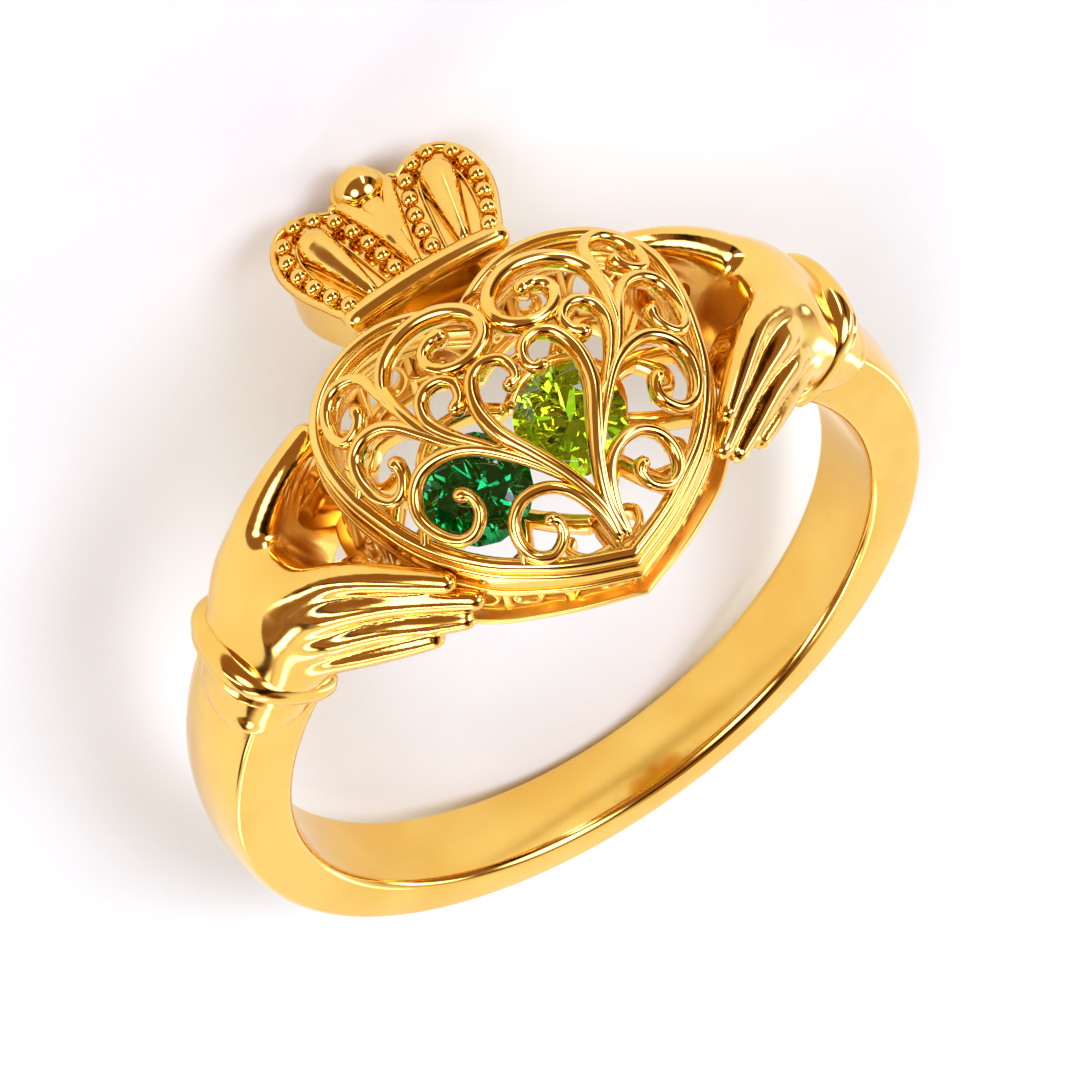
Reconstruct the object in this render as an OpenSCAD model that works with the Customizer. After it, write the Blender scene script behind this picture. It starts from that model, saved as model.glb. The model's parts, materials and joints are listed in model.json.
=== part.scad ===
// Claddagh ring: two hands hold a crowned openwork heart with two loose stones in it.
// The ring is drawn with the finger along Y, the crown toward +Y and the heart toward +Z,
// and each piece is laid on the ring's crown side, as it rests on a table.

/* [Finger] */
// diameter of the finger hole, US size 7
finger_d = 17.3; // [14:0.1:22]

/* [Band] */
// width of the band opposite the heart
band_base_w = 2.4; // [1.6:0.1:4]
// width of the band where the cuffs sit
band_top_w = 3; // [2:0.1:4]
// thickness of the band opposite the heart
band_base_t = 1.35; // [1:0.05:2.4]
// thickness that the band would reach under the heart
band_top_t = 2.2; // [1.6:0.05:3]
// radius of the rounded outer face of the band, across its width
band_round_r = 3.2; // [2:0.1:8]
// width of the arm that runs on from each hand to the heart, at the crown side
arm_w = 0.9; // [0.5:0.05:1.4]

/* [Cuffs] */
// angle of each cuff from the middle of the heart, round the finger
cuff_angle = 48; // [46:1:56]
// diameter of the wrist inside the cuff
wrist_d = 2.3; // [2:0.1:3]
// thickness of the rolled collar
collar_t = 0.75; // [0.4:0.05:1.2]
// thickness of the thin ring between the collar and the hand
cuff_ring_t = 0.4; // [0.2:0.05:0.6]
// length of the flat band of the cuff
cuff_l = 1.5; // [1:0.1:2]

/* [Hands] */
// greatest height of the back of the hand above the finger
hand_h = 3.3; // [2.6:0.1:4]
// greatest width of the palm
palm_w = 3.3; // [2.6:0.1:3.8]
// diameter of each finger at the knuckle
knuckle_d = 0.86; // [0.6:0.02:1]
// diameter of the thumb at its root
thumb_d = 1.2; // [0.8:0.05:1.5]

/* [Heart] */
// width of the heart over the middle of its rim wire
heart_w = 8.8; // [7:0.1:11]
// height of the rim above the finger, at the middle of the heart
rim_h = 2.5; // [2:0.1:3.5]
// slope of the rim, which sinks toward the point
rim_slope = 10; // [0:1:14]
// height that the grille swells above the finger
grille_h = 4.45; // [4.2:0.05:5.2]
// radius of the swelling grille
grille_r = 5.8; // [5:0.1:8]
// thickness of the rim wire
rim_wire_d = 0.34; // [0.24:0.02:0.44]
// thickness of the scroll wires at their thickest
scroll_wire_d = 0.42; // [0.3:0.02:0.48]
// thickness of the gallery wall under the rim
wall_t = 0.42; // [0.3:0.02:0.6]
// height of the gallery's lower edge above the finger
wall_lift = 0.3; // [0.2:0.05:0.5]
// height of the pierced slots in the gallery wall
slot_h = 0.56; // [0.3:0.02:0.6]
// height of the rail along the gallery's lower edge
rail_t = 0.3; // [0.2:0.02:0.4]
// distance that this rail stands out from the wall
rail_out = 0.18; // [0.05:0.01:0.25]
// width of the bars in the open back
back_bar_w = 0.36; // [0.25:0.01:0.5]
// thickness of the bars in the open back
back_bar_t = 0.5; // [0.4:0.05:0.8]

/* [Crown] */
// width of the crown over its two petals
crown_w = 5.2; // [4:0.1:6]
// length of the crown from its base bar to the top of the petals
crown_l = 3.2; // [2.6:0.1:4]
// gap between the top of the heart's rim and the crown's base bar
crown_gap = 0.37; // [0.2:0.01:0.6]
// height of the crown's face above the finger
crown_h = 3.05; // [2.4:0.05:3.4]
// height of the crown's underside above the finger
crown_under = 1.1; // [0.8:0.1:1.6]
// diameter of the beads on the crown
bead_d = 0.42; // [0.3:0.02:0.46]
// thickness of the crown's base bar
base_bar_d = 0.66; // [0.4:0.02:0.8]

/* [Stones] */
// diameter of each round stone
stone_d = 2.55; // [2:0.05:2.6]
// angle that the stones lean toward the point of the heart
stone_lean = 30; // [20:1:35]
// angle that the stones lean to the side
stone_side_lean = 11; // [0:1:15]

/* [Hidden] */
finger_r = finger_d / 2;
seat_gap = 0.03;

// outer face of the band: a circle set off toward the heart
band_outer_r = finger_r + (band_base_t + band_top_t) / 2;
band_shift = (band_top_t - band_base_t) / 2;
cuff_centre_h = 0.48 * wrist_d;
cuff_y = -0.02 * band_top_w;

// the hands reach from the cuffs to this angle beside the heart
tip_angle = asin(0.4 * heart_w / (finger_r + hand_h / 2));

// the grille swells most a little above the middle of the heart
swell_y = 0.057 * heart_w;

// right half of the heart's rim, from the notch to the point: x, y in hundredths of its width
heart_rim = [
    [0, 18.5], [6, 22], [12, 24.6], [18, 25.9], [24.5, 25.8], [31, 24.3], [38, 21], [43.5, 16.5],
    [47.5, 10.7], [49.6, 4.8], [50, -1.7], [49, -9.5], [46.6, -18], [43.2, -27], [38, -35.3],
    [30.7, -43.3], [22.2, -49.5], [12.5, -55.1], [0, -60.2]
];

// scrolls of the right half: x, y in hundredths of the heart's width, from root to curled end
lobe_scroll = [
    [25, -20], [28, -14], [30, -6], [30.5, -0.5], [29.8, 3], [26.5, 7.2], [21, 9.8], [14, 10.2],
    [8, 8.2], [3.5, 4.4], [1.7, 0], [2.8, -4], [6.7, -6.7], [11.4, -7.3], [16, -5.6], [18.4, -2.2],
    [18, 1.2], [15, 3], [12, 2.4], [10.8, 0.6]
];
small_curl = [
    [15, -29.5], [16.5, -27.5], [21.7, -21.4], [25, -16], [26, -12], [25, -8.3], [22, -6.4],
    [18.2, -7], [15.8, -9.7], [16.3, -13.2], [18.5, -14.9], [20.4, -14]
];
heart_scroll = [
    [0.8, -57], [0.8, -50], [4, -42], [8.6, -34.3], [13, -27], [14.5, -20.6], [14, -15.6],
    [11.5, -11.4], [7.5, -10], [3.5, -11.4], [1.8, -14.5], [2.5, -17.5], [5, -18], [6, -17]
];
upper_curl = [
    [29.5, -9], [31, -3.8], [32, 3.6], [33, 8.8], [35.6, 11.7], [39.5, 12.7], [43, 10.7],
    [45.2, 6.8], [45.6, 2.5], [43.9, -0.7], [40.7, -0.7], [38.3, 1.7], [38, 4.7]
];
side_curl = [
    [11.5, -30.5], [17, -27.5], [23.5, -21.8], [28.2, -15.1], [32.5, -8.4], [36.5, -4.9],
    [41, -3.8], [44.7, -5.7], [46.2, -10.5], [45.5, -16.2], [43, -20.2], [39.8, -20.6],
    [37.5, -17.8], [37.5, -14.8], [39, -13.4]
];
stone_loop = [
    [2, -48], [2.5, -45], [7.8, -38], [14, -31.1], [20.7, -24.9], [27.4, -21.4], [33.3, -20.6],
    [37.7, -23], [39.5, -27.6], [38, -33.2], [34.4, -37.5], [30.2, -38.5], [27, -36.2], [26.8, -33],
    [28.6, -30.7], [30.5, -30.7]
];
point_curl = [
    [1.2, -57.5], [2.6, -50], [6.1, -44], [11.1, -40.8], [16.9, -40], [21.2, -42.2], [22.6, -46.1],
    [21.2, -50], [17, -52.2], [13, -50.8], [12, -48], [13.3, -46.5], [15, -47]
];
// plain ties between the scrolls and the rim: x, y, share of the swelling
lobe_tie = [[23, 9, 1], [19, 14, 0.75], [15, 20, 0.35], [13, 24.7, 0]];
notch_tie = [[5, 6, 1], [4, 12, 0.7], [3, 18, 0.25], [3, 20.3, 0]];
upper_tie = [[44.6, 8, 1], [46.5, 10, 0.2], [47.2, 11, 0]];
side_tie = [[46.2, -10.5, 1], [48, -11, 0.3], [48.6, -11.2, 0]];
loop_tie = [[39.2, -29, 1], [41, -30.5, 0.3], [41.6, -30.6, 0]];
low_tie = [[22.4, -47.2, 1], [23.9, -48.7, 0]];
centre_tie = [[1.8, 0, 1], [0, 0.4, 1]];
heart_tie = [[2, -13.5, 1], [0, -13.5, 1]];

// scrolls of the open back, right half: x, y in hundredths of the heart's width
back_ring = [
    [0, 2], [8, 8], [18, 9], [26, 3], [27, -7], [22, -17], [14, -27], [6, -36], [0, -41]
];
back_bars = [
    [[18, 9], [24, 16], [31, 23]],
    [[27, -3], [36, 0], [49, -1]],
    [[22, -17], [31, -21], [44, -24]],
    [[14, -27], [19, -37], [26, -46]],
    [[0, -41], [0, -50], [0, -58]]
];

// slots in the right half of the gallery wall: place in hundredths of the heart's width,
// length likewise, and the direction that the wall runs in
wall_slots = [
    [[22, 26], 14, 0], [[37, 21.5], 13, -34], [[47.3, 11], 13, -64], [[50, -4], 14, -92],
    [[47.5, -16.5], 11, -108], [[42.2, -29], 12, -120], [[34.3, -39.8], 12, -134],
    [[24.5, -48], 11, -143], [[14, -54.4], 10, -150], [[5.6, -58.1], 5.5, -155]
];

// hand: share of the way round the finger from the tips to the cuff, place along the finger in
// shares of the palm, height above it in shares of the hand, then the half thicknesses out from
// the finger in shares of the hand and along it in shares of the palm
palm_rows = [
    [1.25, -0.03, 0.3, 0.28, 0.3], [0.93, -0.05, 0.36, 0.36, 0.36], [0.75, -0.07, 0.44, 0.44, 0.44],
    [0.62, -0.11, 0.49, 0.45, 0.42], [0.52, -0.34, 0.5, 0.4, 0.3], [0.43, -0.45, 0.5, 0.3, 0.24]
];
// wall under the thumb, which runs on to the heart, in the same columns
thumb_wall_rows = [
    [0.93, 0.08, 0.4, 0.38, 0.2], [0.75, 0.2, 0.42, 0.42, 0.2], [0.61, 0.28, 0.42, 0.42, 0.17],
    [0.43, 0.35, 0.42, 0.43, 0.13], [0.29, 0.39, 0.42, 0.42, 0.1], [0.12, 0.43, 0.42, 0.42, 0.09]
];
// digits: the same three places, then the thickness in shares of the thumb's or the knuckle's
thumb_rows = [
    [0.89, 0.02, 0.5, 0.9], [0.75, 0.14, 0.6, 0.98], [0.61, 0.26, 0.7, 0.94], [0.46, 0.33, 0.79, 0.76],
    [0.32, 0.37, 0.86, 0.6], [0.2, 0.41, 0.89, 0.5], [0.08, 0.46, 0.88, 0.4]
];
digit_rows = [
    [[0.61, -0.22, 0.72, 1], [0.45, -0.38, 0.82, 1.02], [0.29, -0.58, 0.8, 0.95],
     [0.11, -0.86, 0.72, 0.8], [-0.01, -1.05, 0.66, 0.62]],
    [[0.62, -0.4, 0.58, 1.02], [0.48, -0.56, 0.68, 1.06], [0.29, -0.76, 0.62, 0.95],
     [0.09, -0.99, 0.5, 0.8], [-0.04, -1.15, 0.42, 0.62]],
    [[0.71, -0.44, 0.46, 1.02], [0.59, -0.6, 0.52, 1.04], [0.39, -0.8, 0.45, 0.95],
     [0.2, -1.01, 0.36, 0.8], [0.06, -1.16, 0.33, 0.62]],
    [[0.84, -0.44, 0.32, 1], [0.71, -0.58, 0.35, 1], [0.54, -0.77, 0.32, 0.9],
     [0.36, -0.96, 0.31, 0.76], [0.24, -1.08, 0.3, 0.6]]
];
// ends of the arm that runs on beside each hand: where the band narrows, and where it stops
arm_share = 0.54;
arm_end_share = 0.18;

// outline of the right half of the crown, and of its parts: x in hundredths of the crown's
// width, y in hundredths of its length, from the base bar up
crown_edge = [
    [0, 0], [34, 0], [38.5, 10], [43, 25], [47.5, 42], [50, 60], [49.3, 76], [46, 89], [41, 97],
    [34.5, 100], [27, 98], [20.5, 92], [16.5, 90], [14, 94], [10.5, 93], [10, 103], [6.5, 111],
    [0, 114]
];
crown_beads = [
    [36, 8], [40.2, 22], [43.8, 37], [46.3, 53], [46.8, 69], [44, 83.5], [34.8, 94.5], [26, 91],
    [18.6, 80], [15, 64], [12.4, 48], [10.6, 32], [9.6, 16.5]
];
leaf_edge = [
    [1, 13], [1.6, 50], [5.5, 70], [10.2, 84], [14, 92], [11.5, 94.5], [8.2, 90], [4.5, 77], [0, 64],
    [0, 13]
];
// profile of a drop that lies on its back: share of its length, share of its radius
drop_profile = [
    [0, 0], [0.06, 0.3], [0.25, 0.44], [0.5, 0.66], [0.72, 0.92], [0.85, 1], [0.94, 0.8], [1, 0.4], [1, 0]
];

// the crown starts above the heart's rim, and its plate is lower than its beads
base_bar_y = 0.259 * heart_w + rim_wire_d / 2 + crown_gap + base_bar_d / 2;
crown_start = base_bar_y + 0.08 * base_bar_d;
crown_face = finger_r + crown_h - 0.9 * bead_d;

// the laid ring stands on the tip of the crown's underside and on the band's outer edge
crown_tip_y = crown_start + 1.14 * crown_l;
crown_tip_z = finger_r + crown_under;
base_edge_y = band_base_w / 2;
base_edge_z = band_outer_r - band_shift - band_round_r
    + sqrt(pow(band_round_r, 2) - pow(base_edge_y, 2));
rest_tilt = atan((crown_tip_y - base_edge_y) / (crown_tip_z + base_edge_z));

function heart_unit() = heart_w / 100;
function rim_z(y) = finger_r + rim_h + y * tan(rim_slope);
function swell_z(x, y) = finger_r + grille_h - (x * x + pow(y - swell_y, 2)) / (2 * grille_r);
function at(angle, y, h) = [(finger_r + h) * sin(angle), y, (finger_r + h) * cos(angle)];
function turn(share) = tip_angle + share * (cuff_angle - tip_angle);
function unit(v) = v / norm(v);

// a point of a smooth curve through four points, for t from 0 to 1 between the middle two
function blend(a, b, c, d, t) = 0.5 * (2 * b + (c - a) * t + (2 * a - 5 * b + 4 * c - d) * t * t
    + (3 * b - a - 3 * c + d) * t * t * t);

// a smooth open curve through the points, with n steps between each two
function curve(p, n) = concat(
    [for (i = [0:len(p) - 2], k = [0:n - 1])
        blend(p[max(i - 1, 0)], p[i], p[i + 1], p[min(i + 2, len(p) - 1)], k / n)],
    [p[len(p) - 1]]);

// both halves of an outline whose right half runs from top to bottom
function both_halves(p) = concat(p, [for (i = [len(p) - 2:-1:1]) [-p[i][0], p[i][1]]]);

module heart_shape() {
    polygon(both_halves(curve(heart_rim, 2)) * heart_unit());
}

// closed tube through rings: each ring has a centre, two half axes and a direction of its first
module loft(rings, sides) {
    last = len(rings) - 1;
    function along(i) = unit(rings[min(i + 1, last)][0] - rings[max(i - 1, 0)][0]);
    function out(i) = unit(rings[i][3] - (rings[i][3] * along(i)) * along(i));
    points = concat(
        [for (i = [0:last], k = [0:sides - 1])
            rings[i][0] + out(i) * rings[i][1] * cos(360 * k / sides)
                + cross(along(i), out(i)) * rings[i][2] * sin(360 * k / sides)],
        [rings[0][0], rings[last][0]]);
    root = len(points) - 2;
    tip = len(points) - 1;
    faces = concat(
        [for (i = [0:last - 1], k = [0:sides - 1])
            [i * sides + k, (i + 1) * sides + k, (i + 1) * sides + (k + 1) % sides]],
        [for (i = [0:last - 1], k = [0:sides - 1])
            [i * sides + k, (i + 1) * sides + (k + 1) % sides, i * sides + (k + 1) % sides]],
        [for (k = [0:sides - 1]) [root, k, (k + 1) % sides]],
        [for (k = [0:sides - 1]) [tip, last * sides + (k + 1) % sides, last * sides + k]]);
    polyhedron(points, faces, convexity = 4);
}

// band: an off-centre ring with a rounded outer face and sides that open toward the heart
module band() {
    difference() {
        intersection() {
            translate([0, 0, band_shift])
                rotate([90, 0, 0])
                    rotate_extrude($fn = 96)
                        intersection() {
                            translate([band_outer_r - band_round_r, 0])
                                circle(band_round_r, $fn = 96);
                            translate([finger_r - 1, -band_top_w])
                                square([band_outer_r, 2 * band_top_w]);
                        }
            rotate([0, 90, 0])
                linear_extrude(4 * finger_r, center = true)
                    polygon([
                        [band_outer_r, -band_base_w / 2], [-band_outer_r, -band_top_w / 2],
                        [-band_outer_r, band_top_w / 2], [band_outer_r, band_base_w / 2]
                    ]);
        }
        rotate([90, 0, 0])
            linear_extrude(4 * band_top_w, center = true)
                wedge(turn(arm_end_share));
        translate([0, band_top_w / 2 - arm_w, 0])
            rotate([90, 0, 0])
                linear_extrude(2 * band_top_w)
                    wedge(turn(arm_share));
    }
}

// everything within an angle of the middle of the heart
module wedge(angle) {
    polygon(2 * finger_r * [[0, 0], [-sin(angle), cos(angle)], [sin(angle), cos(angle)]]);
}

// cuff: turned about the direction of the wrist, with a rolled collar and a thin ring
module cuff() {
    translate(at(cuff_angle, cuff_y, cuff_centre_h))
        rotate([0, cuff_angle - 90, 0])
            rotate_extrude($fn = 64)
                union() {
                    translate([0, -cuff_l / 2])
                        square([wrist_d / 2 + collar_t / 2, cuff_l * 0.8]);
                    translate([wrist_d / 2 + collar_t * 0.35, -cuff_l * 0.05])
                        circle(collar_t / 2, $fn = 32);
                    translate([wrist_d / 2 + cuff_ring_t * 0.4, cuff_l / 2])
                        circle(cuff_ring_t / 2, $fn = 24);
                }
}

// one ring of a digit or of the palm
function hand_ring(row, out_half, along_half) = [
    at(turn(row[0]), row[1] * palm_w, row[2] * hand_h), out_half, along_half,
    [sin(turn(row[0])), 0, cos(turn(row[0]))]
];

module digit(rows, d) {
    rings = [for (row = rows) hand_ring(row, row[3] * d / 2, row[3] * d / 2)];
    last = rings[len(rings) - 1];
    ahead = unit(last[0] - rings[len(rings) - 2][0]) * last[1];
    loft(concat(rings, [[last[0] + ahead * 0.75, last[1] * 0.6, last[2] * 0.6, last[3]]]), 10);
}

// hand: palm, thumb along the upper side of the heart, four fingers along its lower side
module hand() {
    for (rows = [palm_rows, thumb_wall_rows])
        loft([for (row = rows) hand_ring(row, row[3] * hand_h, row[4] * palm_w)], 14);
    digit(thumb_rows, thumb_d);
    for (rows = digit_rows)
        digit(rows, knuckle_d);
}

// a slot cut through the wall at a place on the rim: long, pointed at both ends
module wall_slot(place, length, turn) {
    p = place * heart_unit();
    l = length * heart_unit();
    low = sqrt(pow(finger_r + wall_lift + rail_t, 2) - pow(min(abs(p[0]), finger_r), 2));
    top = rim_z(p[1]) - rim_wire_d / 2;
    translate([p[0], p[1], (low + top) / 2])
        rotate([0, 0, turn])
            rotate([90, 0, 0])
                linear_extrude(4 * wall_t, center = true)
                    polygon([
                        [-l / 2, 0], [-l / 4, slot_h * 0.38], [0, slot_h / 2], [l / 4, slot_h * 0.38],
                        [l / 2, 0], [l / 4, -slot_h * 0.38], [0, -slot_h / 2], [-l / 4, -slot_h * 0.38]
                    ]);
}

// gallery: the heart's wall from the finger up to the rim, pierced all round
module gallery() {
    difference() {
        linear_extrude(2 * finger_r)
            difference() {
                offset(delta = rim_wire_d / 2) heart_shape();
                offset(delta = rim_wire_d / 2 - wall_t) heart_shape();
            }
        above_rim();
        below_wall();
        for (s = wall_slots, side = [0, 1])
            mirror([side, 0, 0])
                wall_slot(s[0], s[1], s[2]);
    }
}

// rail along the gallery's lower edge, which stands out from the wall
module lower_rail() {
    intersection() {
        linear_extrude(2 * finger_r)
            difference() {
                offset(delta = rim_wire_d / 2 + rail_out) heart_shape();
                offset(delta = rim_wire_d / 2 - wall_t) heart_shape();
            }
        rotate([90, 0, 0])
            cylinder(h = 4 * heart_w, r = finger_r + wall_lift + rail_t, center = true, $fn = 128);
        above_finger();
    }
}

// everything above the seat of the grille's rim wire
module above_rim() {
    translate([0, 0, finger_r + rim_h - rim_wire_d / 2 - seat_gap])
        rotate([rim_slope, 0, 0])
            translate([-heart_w, -heart_w, 0])
                cube([2 * heart_w, 2 * heart_w, 2 * heart_w]);
}

// everything further out than the gallery's lower edge
module above_finger() {
    difference() {
        translate([-heart_w, -heart_w, 0])
            cube(2 * heart_w);
        below_wall();
    }
}

module below_wall() {
    rotate([90, 0, 0])
        cylinder(h = 4 * heart_w, r = finger_r + wall_lift, center = true, $fn = 128);
}

// scrolls of the open back, just clear of the finger
module back_scrolls() {
    intersection() {
        linear_extrude(2 * finger_r)
            intersection() {
                offset(r = back_bar_w / 2, $fn = 12) {
                    thin_line(curve(back_ring, 2));
                    for (bar = back_bars)
                        thin_line(curve(bar, 2));
                }
                offset(delta = rim_wire_d / 2 - wall_t / 2) heart_shape();
            }
        rotate([90, 0, 0])
            cylinder(h = 4 * heart_w, r = finger_r + wall_lift + back_bar_t, center = true, $fn = 128);
    }
}

// a hair line through the points on both sides of the heart, to be widened by an offset
module thin_line(p) {
    for (side = [-1, 1]) {
        line = [for (q = p) [side * q[0], q[1]] * heart_unit()];
        back = [for (i = [len(line) - 1:-1:0]) line[i] + [0.004, 0.006]];
        polygon(concat(line, back));
    }
}

// a drop lying on its back, from its point to its round end, sunk into the plate by half
module drop(from, to, r) {
    span = to - from;
    translate([from[0], from[1], 0])
        rotate([0, 0, atan2(span[1], span[0]) - 90])
            rotate([-90, 0, 0])
                rotate_extrude($fn = 32)
                    polygon([for (p = drop_profile) [p[1] * r, p[0] * norm(span)]]);
}

// crown: a thick plate with beaded petals, a drop in each, a budded leaf pair and a base bar
module crown() {
    sx = crown_w / 100;
    sy = crown_l / 100;
    difference() {
        union() {
            translate([0, crown_start, 0])
                linear_extrude(crown_face)
                    polygon(both_halves([for (p = curve(crown_edge, 2)) [p[0] * sx, p[1] * sy]]));
            crown_tongue();
            translate([0, crown_start, crown_face])
                for (side = [-1, 1]) {
                    for (p = crown_beads)
                        translate([side * p[0] * sx, p[1] * sy, bead_d / 8])
                            sphere(bead_d / 2, $fn = 24);
                    drop([side * 23 * sx, 6 * sy], [side * 33.5 * sx, 81 * sy], 0.085 * crown_w);
                    linear_extrude(0.7 * bead_d)
                        polygon([for (p = leaf_edge) [side * p[0] * sx, p[1] * sy]]);
                }
            translate([0, crown_start, crown_face])
                drop([0, 60 * sy], [0, 113 * sy], 0.1 * crown_w);
            base_bar();
        }
        rotate([90, 0, 0])
            cylinder(h = 4 * heart_w, r = finger_r + crown_under, center = true, $fn = 128);
    }
}

// lug under the base bar that joins the crown to the top of the heart's gallery
module crown_tongue() {
    h = crown_under + 0.46 * (crown_h - crown_under);
    linear_extrude(finger_r + h)
        polygon([[-0.3 * crown_w, crown_start + base_bar_d / 2],
            [0.3 * crown_w, crown_start + base_bar_d / 2], [0.26 * crown_w, 0.2 * heart_w],
            [0, 0.17 * heart_w], [-0.26 * crown_w, 0.2 * heart_w]]);
}

module base_bar() {
    half = 0.355 * crown_w;
    translate([0, base_bar_y, crown_face - 0.1 * bead_d]) {
        rotate([0, 90, 0])
            cylinder(h = 2 * half, d = base_bar_d, center = true, $fn = 32);
        for (side = [-1, 1])
            translate([side * half, 0, 0])
                sphere(d = base_bar_d * 0.99, $fn = 32);
    }
}

// band, cuffs, hands, crown and gallery are cast and soldered into one piece of gold
module ring_body() {
    color([0.91, 0.71, 0.27])
        laid()
            difference() {
                union() {
                    difference() {
                        union() {
                            band();
                            for (side = [0, 1])
                                mirror([side, 0, 0]) {
                                    cuff();
                                    hand();
                                }
                        }
                        translate([0, 0, finger_r / 2])
                            linear_extrude(2 * finger_r)
                                offset(delta = rim_wire_d / 2 - wall_t / 2) heart_shape();
                    }
                    gallery();
                    lower_rail();
                    back_scrolls();
                    crown();
                }
                rotate([90, 0, 0])
                    cylinder(h = 4 * heart_w, r = finger_r, center = true, $fn = 192);
            }
}

// a round wire through points [x, y, share of the swelling], with its thickness along it
module wire(p, widths) {
    line = curve([for (q = p) [q[0], q[1], len(q) > 2 ? q[2] : 1]], 1);
    last = len(line) - 1;
    function width(i) = lookup(i / last, [[0, widths[0]], [0.5, widths[1]], [1, widths[2]]]);
    function spot(q) = let (x = q[0] * heart_unit(), y = q[1] * heart_unit(), low = rim_z(y))
        [x, y, low + q[2] * (swell_z(x, y) - low)];
    for (i = [0:last - 1])
        hull() {
            translate(spot(line[i]))
                sphere(d = width(i), $fn = 8);
            translate(spot(line[i + 1]))
                sphere(d = width(i + 1), $fn = 8);
        }
}

// grille: the rim wire and the mirrored scrolls that swell over the stones
module heart_grille() {
    w = scroll_wire_d;
    rim = both_halves(heart_rim);
    color([0.95, 0.76, 0.32]) laid() {
        for (i = [0:len(rim) - 1])
            hull()
                for (q = [rim[i], rim[(i + 1) % len(rim)]])
                    translate([q[0] * heart_unit(), q[1] * heart_unit(), rim_z(q[1] * heart_unit())])
                        sphere(d = rim_wire_d, $fn = 8);
        for (side = [0, 1])
            mirror([side, 0, 0]) {
                wire(lobe_scroll, [w * 0.6, w, w * 0.75]);
                wire(small_curl, [w * 0.5, w * 0.8, w * 0.7]);
                wire(heart_scroll, [w * 0.7, w, w * 0.6]);
                wire(upper_curl, [w * 0.5, w * 0.8, w * 0.65]);
                wire(side_curl, [w * 0.5, w * 0.85, w * 0.65]);
                wire(stone_loop, [w * 0.5, w * 0.85, w * 0.65]);
                wire(point_curl, [w * 0.6, w * 0.75, w * 0.6]);
                for (tie = [lobe_tie, notch_tie, upper_tie, side_tie, loop_tie, low_tie, centre_tie, heart_tie])
                    wire(tie, [w * 0.6, w * 0.5, w * 0.6]);
            }
    }
}

// round brilliant with its table up: 8 star, 8 kite and 16 girdle facets over 8 mains
module brilliant(d) {
    r = d / 2;
    table = 0.57;
    crown_rise = 0.31;
    star = 0.78;
    depth = 0.88;
    keel = 0.22;
    star_z = crown_rise * (1 - star * cos(22.5)) / (1 - table);
    keel_z = -depth * (1 - keel * cos(22.5));
    function around(n, radius, z, turn) = [for (k = [0:n - 1])
        [radius * cos(360 * k / n + turn), radius * sin(360 * k / n + turn), z]];
    points = concat(
        around(8, table, crown_rise, 0), around(8, star, star_z, 22.5), around(16, 1, 0, 0),
        around(16, 1, -0.06, 0), around(8, keel, keel_z - 0.06, 22.5), [[0, 0, -depth - 0.06]]);
    faces = concat(
        [[7, 6, 5, 4, 3, 2, 1, 0]],
        [for (k = [0:7]) [k, (k + 1) % 8, 8 + k]],
        [for (k = [0:7]) [k, 8 + k, 16 + 2 * k, 8 + (k + 7) % 8]],
        [for (k = [0:7]) [8 + k, 17 + 2 * k, 16 + 2 * k]],
        [for (k = [0:7]) [8 + k, 16 + (2 * k + 2) % 16, 17 + 2 * k]],
        [for (k = [0:15]) [32 + k, 16 + k, 16 + (k + 1) % 16, 32 + (k + 1) % 16]],
        [for (k = [0:7]) [56, 48 + (k + 7) % 8, 32 + 2 * k, 48 + k]],
        [for (k = [0:7]) [48 + k, 32 + 2 * k, 33 + 2 * k]],
        [for (k = [0:7]) [48 + k, 33 + 2 * k, 32 + (2 * k + 2) % 16]]);
    polyhedron(points * r, faces);
}

// a loose stone in the cage: place in hundredths of the heart's width, depth of its girdle under
// the grille in shares of its diameter, and its turn
module stone(place, below, spin) {
    x = place[0] * heart_unit();
    y = place[1] * heart_unit();
    laid()
        translate([x, y, swell_z(x, y) - below * stone_d])
            rotate([stone_lean, -stone_side_lean, 0])
                rotate([0, 0, spin])
                    brilliant(stone_d);
}

module emerald_stone() {
    color([0.02, 0.42, 0.2])
        stone([-21.6, -21.2], 0.79, 10);
}

module peridot_stone() {
    color([0.62, 0.76, 0.1])
        stone([7, -21.5], 0.715, 4);
}

// the ring laid down on its crown side, as it rests on a table
module laid() {
    rotate([90 - rest_tilt, 0, 0])
        rotate([0, 0, 180])
            children();
}

ring_body();
heart_grille();
emerald_stone();
peridot_stone();
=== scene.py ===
import json
import math
import bpy
import numpy as np
import openvdb
from mathutils import Matrix, Vector


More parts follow.
